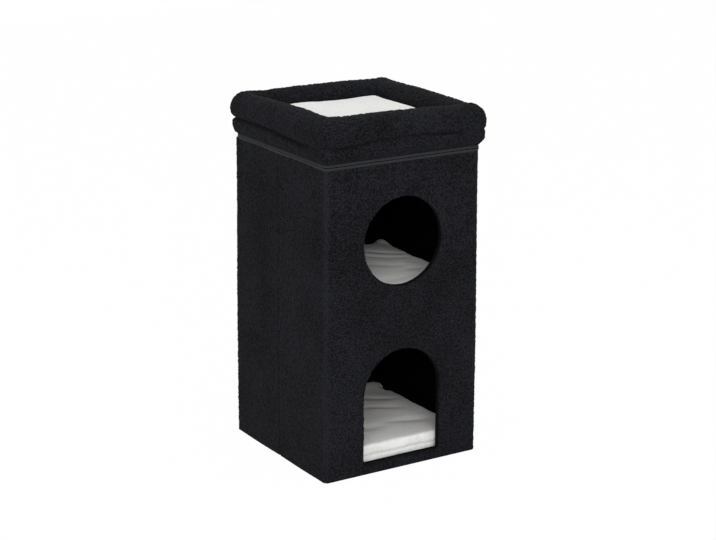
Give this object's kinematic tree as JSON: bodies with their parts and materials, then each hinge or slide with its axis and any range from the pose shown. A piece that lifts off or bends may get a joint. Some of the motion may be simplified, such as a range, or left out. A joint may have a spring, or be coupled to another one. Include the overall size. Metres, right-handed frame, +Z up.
{
  "type": "cat condo",
  "caption": "Upright square plush pet condo with a round upper cave entrance, an arched lower entrance and a bolstered bed on a zipped, hinged lid.",
  "frame": {"origin": "middle of the footprint, on the floor", "axes": "+Z up, the entrances face -Y, the zip slider is on the +X side"},
  "size_m": [0.414, 0.414, 0.781],
  "materials": {
    "plush": "short nubby black teddy plush",
    "lining": "thin black non-woven lining",
    "hem": "black woven binding",
    "fibreboard": "bare brown fibreboard",
    "batten": "planed softwood",
    "foam": "cream upholstery foam",
    "felt": "black felt",
    "cushion": "off-white short plush",
    "zip_tape": "charcoal woven tape with nylon teeth",
    "zip_metal": "black lacquered zinc"
  },
  "bodies": {
    "carcass": {"plush_front": "plush", "plush_back": "plush", "plush_left": "plush", "plush_right": "plush", "lining_front": "lining", "lining_back": "lining", "lining_left": "lining", "lining_right": "lining", "hem_front": "hem", "hem_back": "hem", "hem_left": "hem", "hem_right": "hem", "binding_front": "hem", "binding_back": "hem", "binding_left": "hem", "binding_right": "hem", "board_front": "fibreboard", "board_back": "fibreboard", "board_left_front": "fibreboard", "board_left_rear": "fibreboard", "board_right_front": "fibreboard", "board_right_rear": "fibreboard", "ledge_front": "batten", "ledge_back": "batten", "zip_lower": "zip_tape", "hinge_lower": "zip_tape"},
    "lid": {"lid_lining": "lining", "lid_board": "fibreboard", "lid_foam": "foam", "rail_front": "foam", "rail_back": "foam", "rail_left": "foam", "rail_right": "foam", "skirt_front": "plush", "skirt_back": "plush", "skirt_left": "plush", "skirt_right": "plush", "bolster_front": "plush", "bolster_back": "plush", "bolster_left": "plush", "bolster_right": "plush", "zip_upper": "zip_tape", "hinge_upper": "zip_tape"},
    "bed_cushion": {"bed_cushion": "cushion"},
    "shelf": {"shelf_board": "fibreboard", "shelf_felt": "felt"},
    "shelf_cushion": {"shelf_cushion": "cushion"},
    "floor": {"floor_board": "fibreboard", "floor_felt": "felt"},
    "floor_cushion": {"floor_cushion": "cushion"},
    "zip_slider": {"zip_slider": "zip_metal"},
    "zip_pull": {"zip_pull": "zip_metal"}
  },
  "joints": [
    {"name": "lid_hinge", "type": "hinge", "parent": "carcass", "child": "lid", "pos_m": [0, 0.19, 0.6815], "axis": [-1, 0, 0], "range_deg": [0, 115]},
    {"name": "bed_cushion_lift", "type": "slide", "parent": "lid", "child": "bed_cushion", "axis": [0, 0, 1], "range_m": [0, 0.15]},
    {"name": "shelf_lift", "type": "slide", "parent": "carcass", "child": "shelf", "axis": [0, 0, 1], "range_m": [0, 0.15]},
    {"name": "shelf_cushion_lift", "type": "slide", "parent": "shelf", "child": "shelf_cushion", "axis": [0, 0, 1], "range_m": [0, 0.12]},
    {"name": "floor_lift", "type": "slide", "parent": "carcass", "child": "floor", "axis": [0, 0, 1], "range_m": [0, 0.14]},
    {"name": "floor_cushion_lift", "type": "slide", "parent": "floor", "child": "floor_cushion", "axis": [0, 0, 1], "range_m": [0, 0.12]},
    {"name": "zip_slide", "type": "slide", "parent": "carcass", "child": "zip_slider", "axis": [0, -1, 0], "range_m": [0, 0.3]},
    {"name": "zip_pull_swing", "type": "hinge", "parent": "zip_slider", "child": "zip_pull", "pos_m": [0.19555, 0.15, 0.6815], "axis": [0, 0, 1], "range_deg": [0, 180]}
  ]
}
